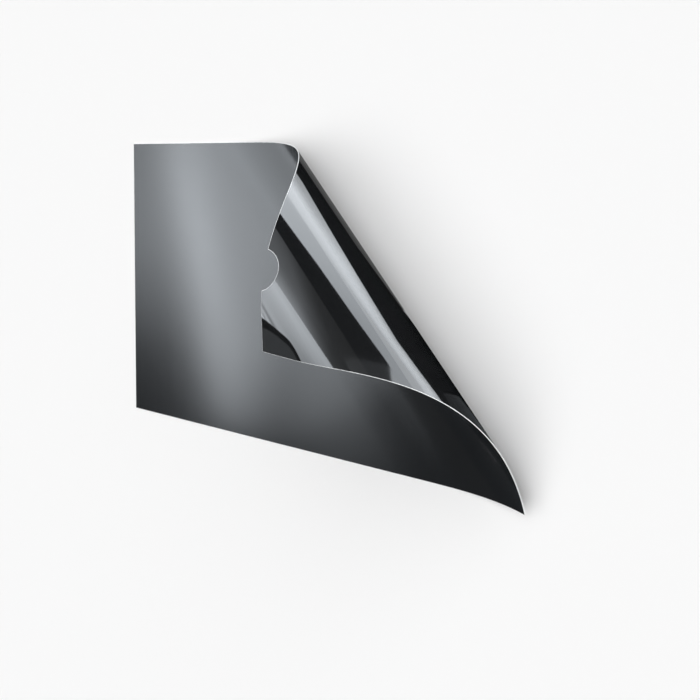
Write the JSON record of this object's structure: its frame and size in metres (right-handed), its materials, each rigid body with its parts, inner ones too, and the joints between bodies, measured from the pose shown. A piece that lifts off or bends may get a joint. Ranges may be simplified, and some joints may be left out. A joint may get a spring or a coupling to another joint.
{
  "type": "monitor privacy filter",
  "caption": "Thin dark rectangular film that hides a screen from side views, its upper corner peeled and rolled over, with a finger notch in the edge.",
  "frame": {"origin": "middle of the object's box, on the plane that the film's flat part lies on", "axes": "+X to the film's right, +Y to its top edge, +Z out of its front, away from the screen side"},
  "size_m": [0.5962, 0.338, 0.1587],
  "materials": {
    "film": "matte anti-glare front, glossy back, pale cut edge"
  },
  "bodies": {
    "root": {"privacy_film": "film"}
  },
  "joints": []
}
